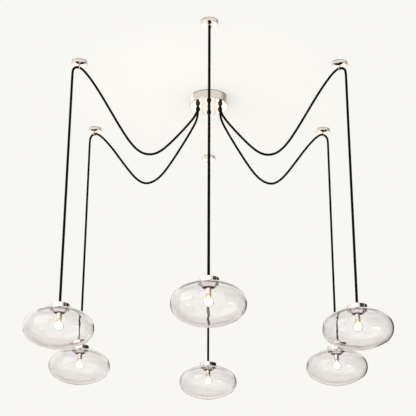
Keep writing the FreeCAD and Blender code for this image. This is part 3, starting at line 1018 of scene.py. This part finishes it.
class PENDANT_OT_shades(bpy.types.Operator):
    """Blow the six clear glass shades, each a little uneven in its own way"""

    bl_idname = "pendant.shades"
    bl_label = "Glass Shades"

    def execute(self, context):
        glass = blown_glass(colours())
        for lamp in range(1, LAMPS + 1):
            bm = self.shell()
            bmesh.ops.transform(bm, matrix=lamp_place(lamp), verts=bm.verts)
            self.uneven(bm, sizes().glass_wave, sizes().glass_wave_length)
            name = f"glass_{lamp}"
            mesh = to_mesh(name, bm, 180.0)
            shade = add_piece(name, mesh, glass, f"lamp_{lamp}", f"glass_shade_{lamp}")
            shade.visible_shadow = False
        return {"FINISHED"}

    def shell(self):
        """A flattened round shell with a fire-polished rim round its hole."""
        side_r = SHADE_R - SHADE_SIDE_R
        crown = (SHADE_R**2 + SHADE_HALF_HEIGHT**2 - 2 * SHADE_R * SHADE_SIDE_R) / (
            2 * (SHADE_HALF_HEIGHT - SHADE_SIDE_R)
        )
        drop = crown - SHADE_HALF_HEIGHT
        lean = math.atan2(drop, side_r)
        mid_wall = crown - SHADE_WALL / 2
        rim_angle = math.acos((SHADE_HOLE_R + SHADE_WALL / 2) / mid_wall)
        rim = (mid_wall * math.cos(rim_angle), SHADE_Z - drop + mid_wall * math.sin(rim_angle))
        below = (0.0, SHADE_Z + drop)
        side = (side_r, SHADE_Z)
        above = (0.0, SHADE_Z - drop)
        bm = bmesh.new()
        point = bm.verts.new((0.0, 0.0, SHADE_Z - SHADE_HALF_HEIGHT))
        turns = (
            (below, math.pi / 2 - lean, 16),
            (side, 2 * lean, 26),
            (above, rim_angle - lean, 12),
            (rim, math.pi, 8),
            (above, lean - rim_angle, 12),
            (side, -2 * lean, 26),
            (below, lean - math.pi / 2, 16),
        )
        for centre, angle, steps in turns:
            point = draw_arc(bm, point, centre, angle, steps)
        spin_full(bm, bm.verts[:] + bm.edges[:], 128)
        return bm

    def uneven(self, bm, depth, length):
        """Moves the wall inwards and back by a slow noise that is the lamp's own."""
        bm.normal_update()
        middle = sum((vert.co for vert in bm.verts), Vector()) / len(bm.verts)
        moves = []
        for vert in bm.verts:
            outside = vert.normal.dot(vert.co - middle) > 0
            place = vert.co / length
            broad = noise.noise(place if outside else place + INSIDE_SHIFT)
            fine = noise.noise(place * FINE_SCALE + FINE_SHIFT)
            inward = depth * (broad + FINE_SHARE * fine)
            if outside:
                inward = min(0.0, inward - depth * 0.7)
            moves.append(vert.normal * inward)
        for vert, move in zip(bm.verts, moves):
            vert.co += move


class PENDANT_OT_bulbs(bpy.types.Operator):
    """Build the lit globe bulbs with their brass collars"""

    bl_idname = "pendant.bulbs"
    bl_label = "Bulbs"

    def execute(self, context):
        base = turned(
            (0.0, BULB_TIP_Z),
            (BULB_TIP_R, BULB_TIP_Z, SMALL_ROUND),
            (BULB_TIP_R, BULB_BASE_TOP_Z),
            (BULB_BASE_R, BULB_BASE_TOP_Z, SOFT_ROUND),
            (BULB_BASE_R, COLLAR_TOP_Z),
            (COLLAR_R, COLLAR_TOP_Z, LIP_ROUND),
            (COLLAR_R, COLLAR_TOP_Z - COLLAR_LIP, BROKEN_EDGE),
            (COLLAR_R - COLLAR_STEP, COLLAR_TOP_Z - COLLAR_LIP - COLLAR_STEP, BROKEN_EDGE),
            (COLLAR_LOW_R, COLLAR_END_Z, SOFT_ROUND),
            (0.0, COLLAR_END_Z),
            steps=48,
        )
        add_to_lamps("bulb_base", base, lacquered_brass(colours()), "bulb")
        clear = bulb_glass(colours())
        for piece in add_to_lamps("bulb_glass", self.globe(0.0, BULB_WALL), clear, "bulb"):
            piece.visible_shadow = False
        add_to_lamps("bulb_glow", self.globe(GLOW_INSET, None), bulb_glow(colours()), "bulb")
        return {"FINISHED"}

    def globe(self, inset, wall):
        """The bulb's globe and neck, as a shell with that wall or as a closed body."""
        bm = bmesh.new()
        point = bm.verts.new((0.0, 0.0, BULB_GLOBE_Z - BULB_GLOBE_R + inset))
        sweep = BULB_SHOULDER + math.pi / 2
        middle = (0.0, BULB_GLOBE_Z)
        point = draw_arc(bm, point, middle, sweep, 20)
        point = draw_line(bm, point, (BULB_NECK_R - inset, BULB_NECK_END_Z))
        point = draw_line(bm, point, (BULB_NECK_R - inset, COLLAR_END_Z))
        if wall is None:
            draw_line(bm, point, (0.0, COLLAR_END_Z))
        else:
            point = draw_line(bm, point, (BULB_NECK_R - wall, COLLAR_END_Z))
            point = draw_line(bm, point, (BULB_NECK_R - wall, BULB_NECK_END_Z))
            inner_r = BULB_GLOBE_R - wall
            shoulder = (
                inner_r * math.cos(BULB_SHOULDER),
                BULB_GLOBE_Z + inner_r * math.sin(BULB_SHOULDER),
            )
            point = draw_line(bm, point, shoulder)
            draw_arc(bm, point, middle, -sweep, 20)
        spin_full(bm, bm.verts[:] + bm.edges[:], 48)
        return bm


# ---- stage ----

WHITE = (1.0, 1.0, 1.0)
WARM_GREY = (1.0, 0.9, 0.82)
ROOM_SIDE = 60.0
FLOOR_Z = -2.75
FLOOR_BEHIND_Y = 0.2
FLOOR_TURN = 3.0
FLOOR_FAR_Y = 3.2
CEILING_Z = 0.0006
PENDANT_MIDDLE = (0.0, 0.0, -1.1)


def aimed(thing, place, target):
    """Puts a lamp, card or camera at a place, facing its target."""
    thing.location = place
    thing.rotation_mode = "QUATERNION"
    thing.rotation_quaternion = (Vector(target) - Vector(place)).to_track_quat("-Z", "Y")
    return thing


class PENDANT_OT_stage(bpy.types.Operator):
    """Set up the ceiling, floor, soft lights, cards and camera"""

    bl_idname = "pendant.stage"
    bl_label = "Studio"

    def execute(self, context):
        studio = context.scene.pendant_studio
        context.scene.view_settings.view_transform = "Standard"
        self.world(context.scene, studio)
        self.ceiling(studio)
        self.floor(studio)
        self.lights()
        self.cards()
        self.camera(context.scene, studio)
        return {"FINISHED"}

    def lights(self):
        """Soft lights, and for each in front a bright face that shows in what is mirrored behind glass."""
        for name, place, width, height, radiance in (
            ("left_front", (-1.7, -1.5, -0.9), 1.9, 1.5, 1.9),
            ("front", (-0.1, -2.7, -0.75), 1.4, 0.9, 1.5),
            ("low_right", (2.2, -1.3, -2.3), 0.8, 0.8, 3.0),
        ):
            self.softbox(name, place, PENDANT_MIDDLE, width, height, radiance)
            face = self.card(f"{name}_face", place, PENDANT_MIDDLE, width, height, radiance, 0.001, WHITE)
            face.visible_glossy = False
        low_back, under_canopy, narrow = (0.0, 2.5, -1.35), (0.0, 0.26, 0.05), math.radians(20)
        self.softbox("below", low_back, under_canopy, 3.6, 1.9, 1.0, narrow)
        self.softbox("below_canopy", low_back, under_canopy, 0.7, 0.5, 0.45, narrow)

    def cards(self):
        """Light and dark cards that draw the edges of the nickel and the glass."""
        self.card("right_wall", (2.0, 1.8, -1.2), (0.0, 1.8, -1.2), 4.6, 2.2, 0.02)
        self.card("right_front", (1.94, -1.41, -1.25), (0.0, 0.0, -1.25), 1.9, 1.9, 0.07)
        self.card("left_edge", (-1.31, -2.01, -1.1), (0.0, 0.0, -1.1), 0.5, 1.9, 0.02)
        self.card("high_back", (0.0, 3.4, 4.4), (0.0, 0.0, -0.8), 8.0, 3.0, 0.04)
        self.band("high_front", 2.5, 1.05, 1.9, math.radians(105), 0.15)
        self.card("right_high", (3.0, 0.6, 0.9), (0.0, 0.6, 0.9), 4.0, 2.4, 0.45, soft=1.6)
        self.card("left_glow", (-2.8, 1.6, 0.5), (0.0, 0.0, 0.5), 3.0, 2.4, 1.3, soft=0.8, tint=WHITE)
        for name, middle_x, tone in (("back_left", -1.8, 0.5), ("back_right", 1.6, 0.08)):
            self.card(name, (middle_x, 4.2, -0.2), (middle_x, 0.0, -0.2), 3.4, 1.1, tone)
        for name, middle_x in (("stripe_left", -0.05), ("stripe_right", 0.05)):
            place, target = (middle_x, 2.15, -1.2), (middle_x, 0.0, -1.2)
            stripe = self.card(name, place, target, 0.045, 0.6, 0.95, soft=0.01, tint=WHITE)
            stripe.visible_shadow = True

    def world(self, scene, studio):
        scene.world = bpy.data.worlds.new("studio")
        s = Shading(scene.world)
        light = s.node("ShaderNodeBackground", None, {"Color": (1, 1, 1, 1), "Strength": studio.world_light})
        seen = s.node("ShaderNodeBackground", None, {"Color": solid(studio.backdrop), "Strength": 1.0})
        direct = s.path("Is Camera Ray", "Is Glossy Ray", "Is Transmission Ray")
        s.show(s.mix(direct, light, seen))

    def plane(self, name, height, downwards):
        """A square sheet as wide as the room."""
        bm = rectangle(ROOM_SIDE, ROOM_SIDE)
        bmesh.ops.translate(bm, vec=(0, 0, height), verts=bm.verts)
        if downwards:
            bmesh.ops.reverse_faces(bm, faces=bm.faces)
        sheet = new_object(name, as_mesh(name, bm))
        return sheet

    def ceiling(self, studio):
        """A white ceiling for the camera alone, seen from below, which takes the fittings' shadow."""
        sheet = self.plane("ceiling", CEILING_Z, True)
        s = shading("ceiling")
        shadowed = s.node("ShaderNodeBsdfDiffuse", None, {"Color": solid(studio.backdrop, 1.05)})
        plain = s.node("ShaderNodeEmission", None, {"Color": solid(studio.backdrop)})
        x, y, _ = s.parts(s.place())
        reach = (x * x + y * y) ** 0.5 / studio.shadow_reach
        share = (1.0 - reach).clamped() * studio.ceiling_shadow
        lit = s.mix(share, plain, shadowed)
        clear = s.node("ShaderNodeBsdfTransparent")
        back = s.node("ShaderNodeNewGeometry", output="Backfacing")
        seen = s.path("Is Camera Ray") * (1.0 - back)
        sheet.data.materials.append(s.show(s.mix(seen, clear, lit)))

    def floor(self, studio):
        """A pale floor that keeps the pendant's shadow, and that metal and glass mirror in other tones."""
        sheet = self.plane("floor", FLOOR_Z, False)
        s = shading("floor")
        lit = s.node("ShaderNodeBsdfDiffuse", None, {"Color": solid(studio.backdrop)})
        depth = s.parts(s.place())[1]
        behind = ((depth - FLOOR_BEHIND_Y) * FLOOR_TURN).clamped()
        far = (depth - FLOOR_FAR_Y).clamped()
        tone = s.blend(far, solid(studio.floor_behind), solid(studio.floor_tone))
        plain = s.node("ShaderNodeEmission", None, {"Color": s.blend(behind, (1, 1, 1, 1), tone)})
        clear = s.node("ShaderNodeBsdfTransparent")
        front = s.mix(s.path("Glossy Depth"), lit, plain)
        back = s.node("ShaderNodeNewGeometry", output="Backfacing")
        sheet.data.materials.append(s.show(s.mix(back, front, clear)))

    def softbox(self, name, place, target, width, height, radiance, half_spread=None):
        """A soft light of that brightness, which a grid can keep within half_spread of its axis."""
        light = bpy.data.lights.new(name, "AREA")
        light.shape = "RECTANGLE"
        light.size = width
        light.size_y = height
        light.energy = radiance * width * height * math.pi
        if half_spread:
            light.spread = 2 * half_spread
            light.energy *= 1 - half_spread / math.tan(half_spread)
        lamp = aimed(new_object(name, light), place, target)
        lamp.visible_camera = False
        lamp.visible_transmission = False

    def card(self, name, place, target, width, height, tone, soft=0.1, tint=WARM_GREY):
        """A flat card towards a target, fading in over its soft sides."""
        s = shading(name)
        across = s.parts(s.place())[0]
        share = ((width / 2 - (across * across) ** 0.5) / soft).clamped()
        card = self.mirrored(name, rectangle(width, height), s, share, solid(tint, tone))
        return aimed(card, place, target)

    def band(self, name, radius, low, high, half_angle, tone):
        """A card bent round the front of the pendant."""
        bm = bmesh.new()
        ends = [bm.verts.new((0, -radius, z)) for z in (low, high)]
        bmesh.ops.rotate(bm, cent=(0, 0, 0), matrix=Matrix.Rotation(-half_angle, 3, "Z"), verts=ends)
        spun(bm, [*ends, bm.edges.new(ends)], 2 * half_angle, 48)
        self.mirrored(name, bm, shading(name), 1.0, solid(WARM_GREY, tone))

    def mirrored(self, name, bm, s, share, colour):
        """An object of plain brightness that is seen only where metal or glass mirrors it."""
        shown = s.node("ShaderNodeEmission", None, {"Color": colour})
        clear = s.node("ShaderNodeBsdfTransparent")
        reflected = s.path("Glossy Depth") * share
        material = s.show(s.mix(reflected, clear, shown))
        material.cycles.emission_sampling = "NONE"
        card = new_object(name, as_mesh(name, bm))
        card.data.materials.append(material)
        card.visible_camera = False
        card.visible_diffuse = False
        card.visible_shadow = False
        return card

    def camera(self, scene, studio):
        data = bpy.data.cameras.new("camera")
        data.lens = studio.lens
        data.shift_y = studio.shift_up
        data.clip_end = ROOM_SIDE
        target = Vector(studio.target)
        forward = Vector((0, math.cos(studio.elevation), math.sin(studio.elevation)))
        camera = aimed(new_object("camera", data), target - forward * studio.distance, target)
        camera.rotation_quaternion = camera.rotation_quaternion @ Quaternion((0, 0, 1), studio.roll)
        scene.camera = camera


class PENDANT_PT_panel(bpy.types.Panel):
    """Lists the pendant's pieces"""

    bl_idname = "PENDANT_PT_panel"
    bl_label = "Cluster Pendant"
    bl_space_type = "VIEW_3D"
    bl_region_type = "UI"
    bl_category = "Pendant"

    def draw(self, context):
        for operator in STEPS:
            self.layout.operator(operator.bl_idname)
        for group in ("pendant_sizes", "pendant_colours", "pendant_studio"):
            settings = getattr(context.scene, group)
            box_layout = self.layout.box()
            for name in settings.__annotations__:
                box_layout.prop(settings, name)


GROUPS = {
    "pendant_sizes": PendantSizes,
    "pendant_colours": PendantColours,
    "pendant_studio": PendantStudio,
}
STEPS = (
    PENDANT_OT_cords,
    PENDANT_OT_canopy,
    PENDANT_OT_hooks,
    PENDANT_OT_fittings,
    PENDANT_OT_shades,
    PENDANT_OT_bulbs,
    PENDANT_OT_stage,
)


def register():
    for name, group in GROUPS.items():
        bpy.utils.register_class(group)
        setattr(bpy.types.Scene, name, PointerProperty(type=group))
    for cls in (*STEPS, PENDANT_PT_panel):
        bpy.utils.register_class(cls)


def unregister():
    for cls in reversed((*STEPS, PENDANT_PT_panel)):
        bpy.utils.unregister_class(cls)
    for name, group in reversed(GROUPS.items()):
        delattr(bpy.types.Scene, name)
        bpy.utils.unregister_class(group)


def main():
    register()
    bpy.ops.pendant.cords()
    bpy.ops.pendant.canopy()
    bpy.ops.pendant.hooks()
    bpy.ops.pendant.fittings()
    bpy.ops.pendant.shades()
    bpy.ops.pendant.bulbs()
    bpy.ops.pendant.stage()


if __name__ == "__main__":
    main()
